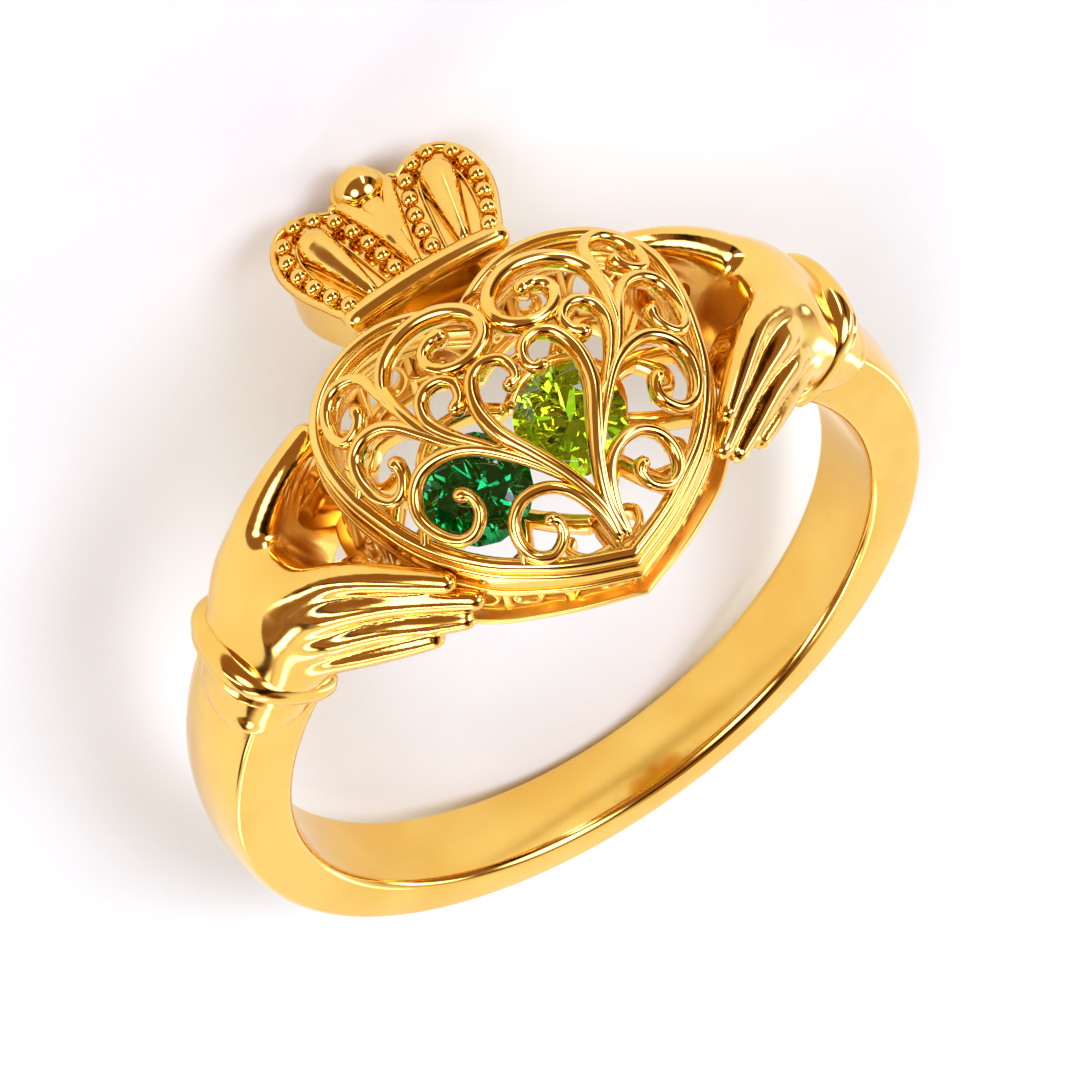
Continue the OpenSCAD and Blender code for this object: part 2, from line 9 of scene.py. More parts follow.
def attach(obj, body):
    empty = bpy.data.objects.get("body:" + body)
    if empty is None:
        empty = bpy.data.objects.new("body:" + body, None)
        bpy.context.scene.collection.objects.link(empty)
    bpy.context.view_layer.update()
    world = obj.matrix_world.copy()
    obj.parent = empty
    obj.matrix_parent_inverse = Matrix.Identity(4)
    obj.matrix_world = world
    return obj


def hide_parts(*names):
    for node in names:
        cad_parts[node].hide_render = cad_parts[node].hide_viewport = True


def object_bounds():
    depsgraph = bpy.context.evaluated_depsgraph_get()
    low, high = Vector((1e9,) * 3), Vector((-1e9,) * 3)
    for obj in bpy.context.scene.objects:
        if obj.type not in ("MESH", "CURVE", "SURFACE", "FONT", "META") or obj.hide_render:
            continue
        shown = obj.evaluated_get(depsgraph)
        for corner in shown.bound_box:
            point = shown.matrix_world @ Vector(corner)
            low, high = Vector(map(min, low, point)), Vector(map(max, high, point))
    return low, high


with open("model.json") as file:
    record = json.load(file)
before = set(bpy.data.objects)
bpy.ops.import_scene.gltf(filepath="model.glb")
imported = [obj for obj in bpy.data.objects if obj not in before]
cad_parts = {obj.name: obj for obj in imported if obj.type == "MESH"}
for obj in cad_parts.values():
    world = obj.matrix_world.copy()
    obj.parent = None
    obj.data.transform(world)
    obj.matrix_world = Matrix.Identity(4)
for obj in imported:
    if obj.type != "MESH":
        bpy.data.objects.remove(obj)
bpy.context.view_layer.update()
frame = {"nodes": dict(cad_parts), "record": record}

# Band: one tapered shank of polished gold round the finger, thicker and wider at the shoulders.
# It is cast, its inside is a true cylinder, its side faces are flat and its back is rounded.
# Sizes here are millimetres in the ring's own directions: across the hands, along the finger
# (the crown is on the plus side) and out from the finger through the heart.

MM = 0.001
finger_hole = frame["record"]["mounts"][0]
finger_r = finger_hole["dims"]["r_mm"]
across = np.array([-1.0, 0.0, 0.0])
along_finger = -np.array(finger_hole["axis"])
out_through_heart = np.cross(across, along_finger)
ring_axes = np.stack([across, along_finger, out_through_heart])


def laid(points):
    """Points of the standing ring in millimetres, turned to how it lies, in metres:
    across * x + along_finger * y + out_through_heart * z."""
    return points @ ring_axes * MM


def round_finger(angle, y, height):
    """The point at an angle in degrees round the finger from the heart, at a height above it:
    ((r + height) sin, y, (r + height) cos)."""
    a = np.radians(angle)
    r = finger_r + height
    return np.stack(np.broadcast_arrays(r * np.sin(a), y, r * np.cos(a)), -1)


def skin(rings, joined=False):
    """Closed skin over rings of points (n, k, 3): quads from each ring to the next, and each end
    closed to its middle unless the last ring is joined to the first."""
    n, k = rings.shape[:2]
    i = np.arange(n if joined else n - 1)[:, None]
    j = np.arange(k)[None]
    here, after = i * k, (i + 1) % n * k
    quads = np.stack([here + j, after + j, after + (j + 1) % k, here + (j + 1) % k], -1)
    points = rings.reshape(-1, 3)
    triangles = np.zeros((0, 3), int)
    if not joined:
        points = np.vstack([points, rings[0].mean(0), rings[-1].mean(0)])
        j, first, last = np.arange(k), n * k, n * k + 1
        triangles = np.vstack([
            np.stack([np.full(k, first), j, (j + 1) % k], -1),
            np.stack([np.full(k, last), (n - 1) * k + (j + 1) % k, (n - 1) * k + j], -1)])
    return outward(points, quads.reshape(-1, 4), triangles)


def outward(points, quads, triangles):
    """The same skin with its faces turned outward: the sum of a . (b x c) over its triangles,
    which is six times the volume inside, is made positive."""
    corners = np.vstack([quads[:, [0, 1, 2]], quads[:, [0, 2, 3]], triangles])
    a, b, c = (points[corners[:, i]] for i in range(3))
    if np.einsum("ij,ij->i", a, np.cross(b, c)).sum() < 0:
        quads, triangles = quads[:, ::-1], triangles[:, ::-1]
    return points, quads, triangles


def other_side(part):
    """The same skin mirrored to the other hand: x becomes -x, and the faces are turned over."""
    points, quads, triangles = part
    return points * [-1, 1, 1], quads[:, ::-1], triangles[:, ::-1]


def pair(part):
    """A part together with its mirror image."""
    return [part, other_side(part)]


def make_piece(name, parts, material, crease=40, satin=None):
    """One object out of closed skins, laid as the ring lies, smooth but for edges sharper than
    the crease angle. The satin rule says from 0 to 1 how much of the polish a point lacks."""
    points, loops, sizes, base = [], [], [], 0
    for p, quads, triangles in parts:
        points.append(p)
        loops += [quads.ravel() + base, triangles.ravel() + base]
        sizes += [np.full(len(quads), 4), np.full(len(triangles), 3)]
        base += len(p)
    standing, loops, sizes = np.vstack(points), np.hstack(loops), np.hstack(sizes)
    points = laid(standing)
    mesh = bpy.data.meshes.new(name)
    mesh.vertices.add(len(points))
    mesh.vertices.foreach_set("co", points.astype(np.float32).ravel())
    mesh.loops.add(len(loops))
    mesh.loops.foreach_set("vertex_index", loops.astype(np.int32))
    mesh.polygons.add(len(sizes))
    mesh.polygons.foreach_set("loop_start", (np.cumsum(sizes) - sizes).astype(np.int32))
    mesh.update(calc_edges=True)
    mesh.polygons.foreach_set("use_smooth", np.ones(len(sizes), bool))
    mesh.set_sharp_from_angle(angle=math.radians(crease))
    if satin:
        lack = mesh.attributes.new("satin", "FLOAT", "POINT")
        lack.data.foreach_set("value", satin(standing).astype(np.float32))
    mesh.materials.append(material)
    piece = bpy.data.objects.new(name, mesh)
    bpy.context.scene.collection.objects.link(piece)
    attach(piece, "root")
    return piece


class Shade:
    """A shader socket that takes part in expressions; Python numbers mix with it freely."""

    def __init__(self, tree, socket):
        self.tree = tree
        self.socket = socket

    def node(self, kind, settings=None, inputs=None, output=0):
        """Any node: its type, its settings, which are set first, and its sockets' values."""
        node = self.tree.nodes.new(kind)
        for key, value in (settings or {}).items():
            setattr(node, key, value)
        for key, value in (inputs or {}).items():
            if isinstance(value, Shade):
                self.tree.links.new(value.socket, node.inputs[key])
            else:
                node.inputs[key].default_value = value
        return Shade(self.tree, node.outputs[output])

    def maths(self, operation, a, b=0.0):
        """One step of arithmetic on two values."""
        return self.node("ShaderNodeMath", {"operation": operation}, {0: a, 1: b})

    def __add__(self, other):
        return self.maths("ADD", self, other)

    def __sub__(self, other):
        return self.maths("SUBTRACT", self, other)

    def __rsub__(self, other):
        return self.maths("SUBTRACT", other, self)

    def __mul__(self, other):
        return self.maths("MULTIPLY", self, other)

    __radd__ = __add__
    __rmul__ = __mul__

    def mix(self, low, high):
        """The colour between two colours, by this share."""
        return self.node("ShaderNodeMix", {"data_type": "RGBA"}, {0: self, 6: low, 7: high}, 2)

    def between(self, low, high):
        """This value's place between two values, from 0 to 1, with soft ends."""
        return self.node("ShaderNodeMapRange", {"interpolation_type": "SMOOTHSTEP"},
                         {"Value": self, "From Min": low, "From Max": high})


def open_material(name):
    """A new material: its shader, its output and its Object coordinates in millimetres."""
    material = bpy.data.materials.new(name)
    material.use_nodes = True
    tree = material.node_tree
    tree.nodes.clear()
    shader = tree.nodes.new("ShaderNodeBsdfPrincipled")
    result = tree.nodes.new("ShaderNodeOutputMaterial")
    tree.links.new(shader.outputs[0], result.inputs[0])
    place = Shade(tree, None).node("ShaderNodeTexCoord", output=3)
    place = place.node("ShaderNodeVectorMath", {"operation": "SCALE"}, {0: place, "Scale": 1 / MM})
    return material, shader, place


def noise(place, scale, detail=2.0, distortion=0.0):
    """Soft random values in space, whose grain is one over the scale in millimetres."""
    return place.node("ShaderNodeTexNoise", inputs={
        "Vector": place, "Scale": scale, "Detail": detail, "Distortion": distortion})


wave_height, wave_strength = 0.02, 0.05
satin_roughness = 0.28


def polished_gold(name, deep, light, roughness):
    """Hand-polished yellow gold: its colour wanders a little between two tones, soft wheel marks
    vary the gloss, a faint waviness bends the reflections, and where the satin attribute says
    so, in recesses that no wheel reaches, the polish is duller."""
    material, shader, place = open_material(name)
    tree = material.node_tree
    tone = noise(place, 0.35, detail=3.0)
    wheel = noise(place, 2.2, detail=4.0, distortion=0.6)
    wave = noise(place, 1.1, detail=1.0)
    scratch = noise(place, 24.0)
    satin = place.node("ShaderNodeAttribute", {"attribute_name": "satin"}, output=2)
    marks = 0.4 * wheel.between(0.4, 0.75) + 0.2 * scratch.between(0.6, 0.8)
    gloss = roughness * (1 + marks) + satin_roughness * satin
    bump = place.node("ShaderNodeBump", inputs={
        "Strength": wave_strength, "Distance": wave_height * MM, "Height": wave + 0.04 * scratch})
    tree.links.new(tone.between(0.35, 0.65).mix(deep, light).socket, shader.inputs["Base Color"])
    tree.links.new(gloss.socket, shader.inputs["Roughness"])
    tree.links.new(bump.socket, shader.inputs["Normal"])
    shader.inputs["Metallic"].default_value = 1.0
    return material


ring_gold = polished_gold("polished_ring_gold", deep=(0.93, 0.56, 0.11, 1), light=(0.97, 0.64, 0.15, 1),
                          roughness=0.11)


def rounded(corners, radii, steps=6):
    """Profiles (n, c, 2) with each corner turned into an arc: the arc's centre lies on the
    corner's bisector at r / sin(half angle), and its points turn evenly about it."""
    back = np.roll(corners, 1, axis=1) - corners
    ahead = np.roll(corners, -1, axis=1) - corners
    back /= np.linalg.norm(back, axis=2, keepdims=True)
    ahead /= np.linalg.norm(ahead, axis=2, keepdims=True)
    half = np.arccos(np.clip((back * ahead).sum(2), -0.9999, 0.9999)) / 2
    radii = np.broadcast_to(radii, half.shape)
    middle = back + ahead
    middle /= np.linalg.norm(middle, axis=2, keepdims=True)
    centre = corners + middle * (radii / np.sin(half))[..., None]
    start = (corners + back * (radii / np.tan(half))[..., None] - centre)[:, :, None]
    end = (corners + ahead * (radii / np.tan(half))[..., None] - centre)[:, :, None]
    turn = (np.pi - 2 * half)[..., None, None]
    s = np.linspace(0, 1, steps)[None, None, :, None]
    way_round = (np.sin((1 - s) * turn) * start + np.sin(s * turn) * end) / np.sin(turn)
    return (centre[:, :, None] + way_round).reshape(len(corners), -1, 2)


band_base_w, band_top_w = 2.4, 3.0
band_base_t, band_top_t = 1.35, 2.2
band_back_r = 3.2
band_inner_edge, band_outer_edge, arm_edge = 0.3, 0.22, 0.15
cuff_angle = 48.0
band_outer_r = finger_r + (band_base_t + band_top_t) / 2
band_shift = (band_top_t - band_base_t) / 2


def band_thickness(angle):
    """Distance from the finger to the outer circle, whose centre is shifted by s toward the heart:
    s cos + sqrt(R^2 - (s sin)^2) - r."""
    a = np.radians(angle)
    return (band_shift * np.cos(a) + np.sqrt(band_outer_r**2 - (band_shift * np.sin(a))**2)
            - finger_r)


def band_half_width(angle):
    """Half the width, which grows from base to top as (1 + cos) / 2."""
    return (band_base_w + (band_top_w - band_base_w) * (1 + np.cos(np.radians(angle))) / 2) / 2


def band_rings(angle, low_y, high_y, inner_edge, outer_edge):
    """Sections of the band at the angles: a flat inside, flat sides and a back that is an arc
    across the band, t - (R - sqrt(R^2 - y^2)), with rounded edges. The arc has seven corners, and
    they are rounded so far that they run into each other."""
    t = band_thickness(angle)
    shares = np.array([1, 0.72, 0.4, 0, -0.4, -0.72, -1])
    middle = (low_y + high_y)[:, None] / 2
    y = middle + (high_y - low_y)[:, None] / 2 * shares
    back = t[:, None] - (band_back_r - np.sqrt(band_back_r**2 - y**2))
    y = np.column_stack([low_y, high_y, y])
    height = np.column_stack([0 * t, 0 * t, back])
    radii = np.array([inner_edge, inner_edge, outer_edge, 0.5, 0.9, 1.2, 0.9, 0.5, outer_edge])
    profile = rounded(np.stack([y, height], -1), radii)
    return round_finger(angle[:, None], profile[..., 0], profile[..., 1])


shank_angle = np.linspace(cuff_angle - 1, 360 - cuff_angle + 1, 241)
shank_half = band_half_width(shank_angle)
shank_rings = band_rings(shank_angle, -shank_half, shank_half, band_inner_edge, band_outer_edge)

# Arms of the band that run on beside the hands on the crown side and hold the head from behind:
# the angle round the finger, and how wide the arm is there from the band's crown side down
arm_width = np.array([[24, 0.45], [28, 0.55], [32, 0.75], [37, 1.1], [41, 1.5], [46, 2.0], [50, 2.3]])
arm_angle = np.linspace(arm_width[0, 0], arm_width[-1, 0], 40)
arm_high = band_half_width(arm_angle)
arm_low = arm_high[0] - np.interp(arm_angle, *arm_width.T)
arm = skin(band_rings(arm_angle, arm_low, arm_high, arm_edge, arm_edge))
shank = make_piece("shank_and_arms", [skin(shank_rings)] + pair(arm), ring_gold)
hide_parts("ring_body")

# Cuffs: a plain sleeve, a rolled collar and a thin ring where each hand leaves its sleeve.
# They are turned rings of gold soldered over the ends of the shank.

wrist_r = 1.15
collar_r = 0.38
thin_ring_r = 0.19
sleeve_l = 1.1
hollow_r = 0.1
cuff_height, cuff_y = 1.1, -0.06
bore_clearance = 0.012


def arc(centre, r, start, end, count):
    """Points on a circle from one angle to another, in degrees."""
    a = np.radians(np.linspace(start, end, count))
    return np.stack([centre[0] + r * np.cos(a), centre[1] + r * np.sin(a)], -1)


def cuff_skin():
    """The cuff's profile, as distance along the wrist and out from it, carried round it. The
    section goes from a rounded square over the shank to a circle at the hand:
    r / (|cos|^p + |sin|^p)^(1/p). What would stand in the finger hole is laid on its wall."""
    # the sleeve's end and edge, a hollow, the collar, a hollow, the thin ring, and in to the wrist
    profile = np.vstack([
        [[-sleeve_l / 2 - 0.12, 0.5], [-sleeve_l / 2 - 0.12, wrist_r + 0.2]],
        arc((-sleeve_l / 2, wrist_r + 0.3), hollow_r, 190, 90, 6),
        arc((-0.42, wrist_r + 0.5), hollow_r, 270, 320, 5),
        arc((-0.06, wrist_r + 0.27), collar_r, 158, 8, 22),
        arc((0.42, wrist_r + 0.24), hollow_r, 215, 290, 5),
        arc((0.62, wrist_r + 0.14), thin_ring_r, 145, 5, 14),
        [[0.84, wrist_r - 0.1], [1.0, wrist_r - 0.25], [1.15, 0.4]]])
    turn = np.linspace(0, 2 * np.pi, 96, endpoint=False)
    p = np.interp(profile[:, 0], [-0.9, -0.3, 0.9], [3.4, 2.5, 2.0])[:, None]
    r = profile[:, 1:] / (abs(np.cos(turn))**p + abs(np.sin(turn))**p)**(1 / p)
    a = math.radians(cuff_angle)
    out = np.array([math.sin(a), 0, math.cos(a)])
    forward = np.array([-math.cos(a), 0, math.sin(a)])
    centre = (finger_r + cuff_height) * out + np.array([0, cuff_y, 0])
    rings = (centre + profile[:, 0, None, None] * forward
             + (r * np.cos(turn))[..., None] * out + (r * np.sin(turn))[..., None] * [0, 1, 0])
    return skin(clear_of_finger(rings))


def clear_of_finger(points):
    """Points nearer the finger's axis than its wall are moved straight out onto the wall."""
    r = np.hypot(points[..., 0], points[..., 2])
    grow = np.maximum(1, (finger_r + bore_clearance) / r)
    return points * np.stack([grow, np.ones_like(grow), grow], -1)


cuffs = make_piece("cuffs", pair(cuff_skin()), ring_gold)
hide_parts("ring_body")

# Hands: smooth backs, a thumb along the upper side of the heart and four fingers with deep
# grooves along its lower side. They are cast in one with the cuffs, carved and polished.

hand_h, palm_w = 3.3, 3.3
knuckle_d, thumb_d = 0.86, 1.2
tip_angle = 20.0
palm_squareness, thumb_wall_squareness = 2.4, 3.5
# how far forms melt together: finger into finger, digits into what carries them, the two halves
# of the hand into each other, and the hand into the wall of the finger hole
finger_melt, palm_melt, hand_melt, hole_melt = 0.03, 0.4, 0.8, 0.06
# palm: share of the way from the tips to the cuff, place along the finger in palm widths, height
# in hand heights, then half thickness outward in hand heights and along in palm widths
palm_rows = np.array([
    [1.25, -0.05, 0.32, 0.33, 0.44], [0.93, -0.08, 0.38, 0.39, 0.47], [0.75, -0.1, 0.45, 0.44, 0.47],
    [0.62, -0.12, 0.49, 0.45, 0.45], [0.52, -0.22, 0.5, 0.42, 0.4], [0.43, -0.37, 0.5, 0.35, 0.3],
    [0.34, -0.5, 0.5, 0.26, 0.2]])
thumb_wall_rows = np.array([
    [0.93, 0.08, 0.4, 0.38, 0.2], [0.75, 0.2, 0.42, 0.42, 0.2], [0.61, 0.28, 0.42, 0.42, 0.17],
    [0.43, 0.35, 0.42, 0.43, 0.13], [0.29, 0.39, 0.42, 0.42, 0.1], [0.12, 0.43, 0.42, 0.42, 0.09]])
# digits: the same three places, then the thickness in shares of the thumb's or the knuckle's
thumb_rows = np.array([
    [0.92, 0.0, 0.44, 1.3], [0.76, 0.12, 0.55, 1.3], [0.61, 0.22, 0.67, 1.2], [0.46, 0.29, 0.78, 0.98],
    [0.32, 0.34, 0.85, 0.78], [0.2, 0.385, 0.88, 0.63], [0.08, 0.44, 0.88, 0.48]])
finger_rows = np.array([
    [[0.61, -0.22, 0.71, 0.98], [0.45, -0.38, 0.81, 0.96], [0.29, -0.58, 0.8, 0.86],
     [0.11, -0.86, 0.72, 0.73], [-0.01, -1.05, 0.66, 0.58]],
    [[0.62, -0.4, 0.57, 1], [0.48, -0.56, 0.67, 0.98], [0.29, -0.76, 0.62, 0.87],
     [0.09, -0.99, 0.5, 0.73], [-0.04, -1.15, 0.42, 0.58]],
    [[0.71, -0.44, 0.45, 1], [0.59, -0.6, 0.51, 0.97], [0.39, -0.8, 0.45, 0.86],
     [0.2, -1.01, 0.36, 0.72], [0.06, -1.16, 0.33, 0.57]],
    [[0.84, -0.44, 0.32, 1], [0.71, -0.58, 0.35, 0.94], [0.54, -0.77, 0.32, 0.83],
     [0.36, -0.96, 0.31, 0.7], [0.24, -1.08, 0.3, 0.56]]])
# the box round one hand in which its distance field is worked out, and the step of its grid
hand_box = np.array([[2.2, -4.6, 5.6], [9.9, 2.7, 12.6]])
hand_grid = 0.07


def spline(rows, steps):
    """A smooth curve through the rows, with so many steps between each two: a Catmull-Rom blend
    of the four rows around each point."""
    p = np.vstack([2 * rows[0] - rows[1], rows, 2 * rows[-1] - rows[-2]])
    i = np.repeat(np.arange(len(rows) - 1), steps)
    t = np.tile(np.arange(steps) / steps, len(rows) - 1)[:, None]
    a, b, c, d = p[i], p[i + 1], p[i + 2], p[i + 3]
    bent = (2 * a - 5 * b + 4 * c - d) * t**2 + (3 * b - a - 3 * c + d) * t**3
    return np.vstack([0.5 * (2 * b + (c - a) * t + bent), rows[-1]])


def limb_distance(space, rows, width):
    """Signed distance to a bent digit of round section: how far the nearest place on one of its
    straight stretches is, less the radius there, the smallest over the stretches."""
    line = spline(rows, 4)
    angle = tip_angle + line[:, 0] * (cuff_angle - tip_angle)
    middle = round_finger(angle, line[:, 1] * palm_w, line[:, 2] * hand_h).astype(np.float32)
    r = line[:, 3] * width / 2
    best = np.full(space.shape[:-1], np.inf, np.float32)
    for i in range(len(line) - 1):
        way = middle[i + 1] - middle[i]
        rel = space - middle[i]
        t = np.clip(rel @ way / (way @ way), 0, 1)
        off = np.linalg.norm(rel - t[..., None] * way, axis=-1)
        best = np.minimum(best, off - (r[i] + t * (r[i + 1] - r[i])))
    return best


def toward_the_cuff(p):
    """Share of the angle from the finger tips to the cuff at which points lie, on either side."""
    return (np.degrees(np.arctan2(abs(p[..., 0]), p[..., 2])) - tip_angle) / (cuff_angle - tip_angle)


def above_the_finger(p):
    """How far points stand out from the wall of the finger hole."""
    return np.hypot(p[..., 0], p[..., 2]) - finger_r


def sheet_distance(space, rows, p):
    """Signed distance, near enough, to a solid swept round the finger: (q - 1) / |gradient of q|
    with q = (|u|^p + |v|^p + |w|^p)^(1/p) in shares of its half thickness outward, along the
    finger and past its ends."""
    table = spline(rows, 12)[::-1]
    share = toward_the_cuff(space)
    y, height, half_out, half_along = (np.interp(share, table[:, 0], table[:, i]) for i in range(1, 5))
    a, b = half_out * hand_h, half_along * palm_w
    c = np.minimum(a, b)
    round_l = math.radians(cuff_angle - tip_angle) * (finger_r + hand_h / 2)
    u = (above_the_finger(space) - height * hand_h) / a
    v = (space[..., 1] - y * palm_w) / b
    w = (share - np.clip(share, table[0, 0], table[-1, 0])) * round_l / c
    u, v, w = abs(u), abs(v), abs(w)
    q = (u**p + v**p + w**p)**(1 / p) + 1e-6
    k = 2 * (p - 1)
    return q**(p - 1) * (q - 1) / (np.sqrt(u**k / a**2 + v**k / b**2 + w**k / c**2) + 1e-6)


def melt(a, b, k):
    """Two distances run together over a width k: min - (k - |a - b|)^2 / 4k where they meet."""
    return np.minimum(a, b) - np.maximum(k - abs(a - b), 0)**2 / (4 * k)


def hand_skin(step):
    """The hand as the surface where a distance field is zero. Each digit is a limb, the fingers
    melt into each other a little and into the palm a lot, and the finger hole is kept open. A
    [1, 2, 1] / 4 blur takes the facets of the field out."""
    low, high = hand_box
    count = np.ceil((high - low) / step).astype(int)
    axes = [low[i] + step * np.arange(count[i]) for i in range(3)]
    space = np.stack(np.meshgrid(*axes, indexing="ij"), -1).astype(np.float32)
    fingers = limb_distance(space, finger_rows[0], knuckle_d)
    for rows in finger_rows[1:]:
        fingers = melt(fingers, limb_distance(space, rows, knuckle_d), finger_melt)
    thumb = limb_distance(space, thumb_rows, thumb_d)
    palm = sheet_distance(space, palm_rows, palm_squareness)
    wall = sheet_distance(space, thumb_wall_rows, thumb_wall_squareness)
    field = melt(melt(palm, fingers, palm_melt), melt(thumb, wall, palm_melt), hand_melt)
    field = -melt(-field, above_the_finger(space) - bore_clearance, hole_melt)
    for axis in range(3):
        inner = [slice(None)] * 3
        inner[axis] = slice(1, -1)
        before, here, after = (np.take(field, np.arange(k, field.shape[axis] - 2 + k), axis)
                               for k in range(3))
        field[tuple(inner)] = 0.25 * before + 0.5 * here + 0.25 * after
    grid = openvdb.FloatGrid(2.0)
    grid.copyFromArray(field.astype(np.float32))
    points, quads = grid.convertToQuads(0.0)
    return outward(points * step + low, quads.astype(int), np.zeros((0, 3), int))


def ramp(value, none, full):
    """0 at one value, 1 at another and even between them."""
    return np.clip((value - none) / (full - none), 0, 1)


def in_the_grip(p):
    """1 between thumb and fingers, low down, and 0 on the backs of the hands."""
    between_digits = ramp(abs(p[:, 1] + 0.1), 1.05, 0.75)
    return between_digits * ramp(toward_the_cuff(p), 0.68, 0.52) * ramp(above_the_finger(p), 2.75, 2.2)


hands = make_piece("hands", pair(hand_skin(hand_grid)), ring_gold, crease=70,
                   satin=in_the_grip)
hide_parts("ring_body")

# Gallery: the heart's side wall. Under the parting line lies a ledge, then a pierced course of
# scrolls between posts, then a rail that follows the finger. It is sawn and soldered strip gold.

heart_w = 8.8
rim_h, rim_slope = 2.5, math.tan(math.radians(10))
rim_wire_r, seat_gap = 0.17, 0.03
wall_t, wall_lift = 0.42, 0.3
rail_out = 0.18
# right half of the rim, from the notch to the point, in hundredths of the heart's width
heart_rim = np.array([
    [0, 18.5], [6, 22], [12, 24.6], [18, 25.9], [24.5, 25.8], [31, 24.3], [38, 21], [43.5, 16.5],
    [47.5, 10.7], [49.6, 4.8], [50, -1.7], [49, -9.5], [46.6, -18], [43.2, -27], [38, -35.3],
    [30.7, -43.3], [22.2, -49.5], [12.5, -55.1], [0, -60.2]])


def unit(v):
    """The same directions with length 1."""
    return v / np.linalg.norm(v, axis=-1, keepdims=True)


def rim_height(y):
    """Height of the heart's parting line, which rises evenly toward the crown."""
    return finger_r + rim_h + y * rim_slope


def finger_drop(x, lift):
    """Height over the place x of a cylinder round the finger, so much wider than its hole:
    sqrt((r + lift)^2 - x^2)."""
    return np.sqrt((finger_r + lift)**2 - x**2)


def distance_along(line):
    """How far each point of a line is from its start, along it."""
    return np.hstack([0, np.cumsum(np.linalg.norm(np.diff(line, axis=0), axis=1))])


def read_at(s, places, table):
    """Each column of a table, whose rows stand at given places, read at s between them."""
    return np.stack([np.interp(s, places, column) for column in table.T], -1)


def even(line, count):
    """The same line with its points at equal distances along it."""
    run = distance_along(line)
    return read_at(np.linspace(0, run[-1], count), run, line)


def both_sides(half):
    """A closed outline from its right half, which starts and ends on the middle line."""
    return np.vstack([half, half[-2:0:-1] * [-1, 1]])


def outline_normals(line):
    """Outward normals of a closed outline that runs clockwise, lengthened at corners so that an
    offset strip keeps its thickness: n / (n . normal of the next side)."""
    ahead = unit(np.roll(line, -1, axis=0) - line)
    way = unit(ahead + np.roll(ahead, 1, axis=0))
    normal = np.stack([-way[:, 1], way[:, 0]], -1)
    side = np.stack([-ahead[:, 1], ahead[:, 0]], -1)
    return normal / np.clip((normal * side).sum(1), 0.6, 1)[:, None]


half_count = 150
heart_half = even(spline(heart_rim, 10) * heart_w / 100, half_count)
heart_line = both_sides(heart_half)
heart_out = outline_normals(heart_line)
wall_foot = finger_drop(heart_line[:, 0], wall_lift)
wall_head = rim_height(heart_line[:, 1]) - rim_wire_r - seat_gap
wall_rise = wall_head - wall_foot
rail_top = wall_foot + 0.1 + 0.05 * wall_rise
band_foot = wall_head - np.clip(0.3 * wall_rise, 0.3, 0.5)
ledge_head = band_foot - 0.05
ledge_foot = ledge_head - np.clip(0.12 * wall_rise, 0.12, 0.22)


def course(inner, outer, low, high, edge, follows_finger=False):
    """A strip carried round the heart: a rounded rectangle between two offsets from the outline
    and two heights. Its foot keeps the finger's or the rim's slope across its thickness."""
    n = len(heart_line)
    corners = np.empty((n, 4, 2))
    corners[:, :, 0] = [outer, outer, inner, inner]
    corners[:, :, 1] = np.stack([low, high, high, low], -1)
    profile = rounded(corners, edge, 5)
    x, y = (heart_line[:, i, None] + heart_out[:, i, None] * profile[..., 0] for i in (0, 1))
    z = profile[..., 1]
    if follows_finger:
        z = z + finger_drop(x, wall_lift) - wall_foot[:, None]
    else:
        z = z + (y - heart_line[:, 1, None]) * rim_slope
    return skin(np.stack([x, y, z], -1), joined=True)


# from the head down: the band under the rim, a groove, the ledge, and the rail on the finger
wall_in = rim_wire_r - wall_t
wall_middle = (wall_in + rim_wire_r) / 2
gallery_parts = [
    course(wall_in, rim_wire_r + 0.02, band_foot, wall_head, 0.09),
    course(wall_in + 0.02, rim_wire_r - 0.07, ledge_head - 0.06, band_foot + 0.06, 0.02),
    course(wall_in, rim_wire_r + 0.06, ledge_foot, ledge_head, 0.05),
    course(wall_in, rim_wire_r + rail_out, wall_foot, rail_top, 0.045, follows_finger=True)]


def sweep(path, lift, half_w, half_d, sink=0.0, squareness=2.0, sides=12, round_ends=True):
    """A wire along a path: ellipses, or rounded squares |x|^p + |y|^p = 1, that stand on the
    path's side and lift directions. It sinks under the path by a share of its depth, and each
    end closes in a half round: sqrt(1 - (1 - d / r)^2) at a distance d from the end."""
    run = distance_along(path)
    half_w = np.broadcast_to(half_w, len(path)).astype(float)
    half_d = np.broadcast_to(half_d, len(path)).astype(float)
    s = run
    if round_ends:
        quarter = 1 - np.cos(np.radians(np.array([2, 14, 28, 44, 62, 90])))
        start, end = quarter * half_w[0], run[-1] - quarter * half_w[-1]
        between = run[(run > start[-1] * 1.05) & (run < end[-1] - 0.05 * half_w[-1])]
        s = np.hstack([start, between, end[::-1]])
    w = np.interp(s, run, half_w)
    d = np.interp(s, run, half_d)
    if round_ends:
        far = np.minimum(s / half_w[0], (run[-1] - s) / half_w[-1])
        close = np.sqrt(np.clip(1 - (1 - np.clip(far, 0, 1))**2, 0, 1))
        w, d = w * close, d * close
    middle = read_at(s, run, path)
    way = unit(np.gradient(middle, axis=0))
    up = read_at(s, run, np.broadcast_to(lift, path.shape))
    up = unit(up - (up * way).sum(1)[:, None] * way)
    side = np.cross(way, up)
    turn = np.linspace(0, 2 * np.pi, sides, endpoint=False)
    c, t = np.cos(turn), np.sin(turn)
    p = 2 / squareness
    c, t = np.sign(c) * abs(c)**p, np.sign(t) * abs(t)**p
    middle = middle - up * (sink * d)[:, None]
    return skin(middle[:, None] + side[:, None] * (w[:, None] * c)[..., None]
                + up[:, None] * (d[:, None] * t)[..., None])


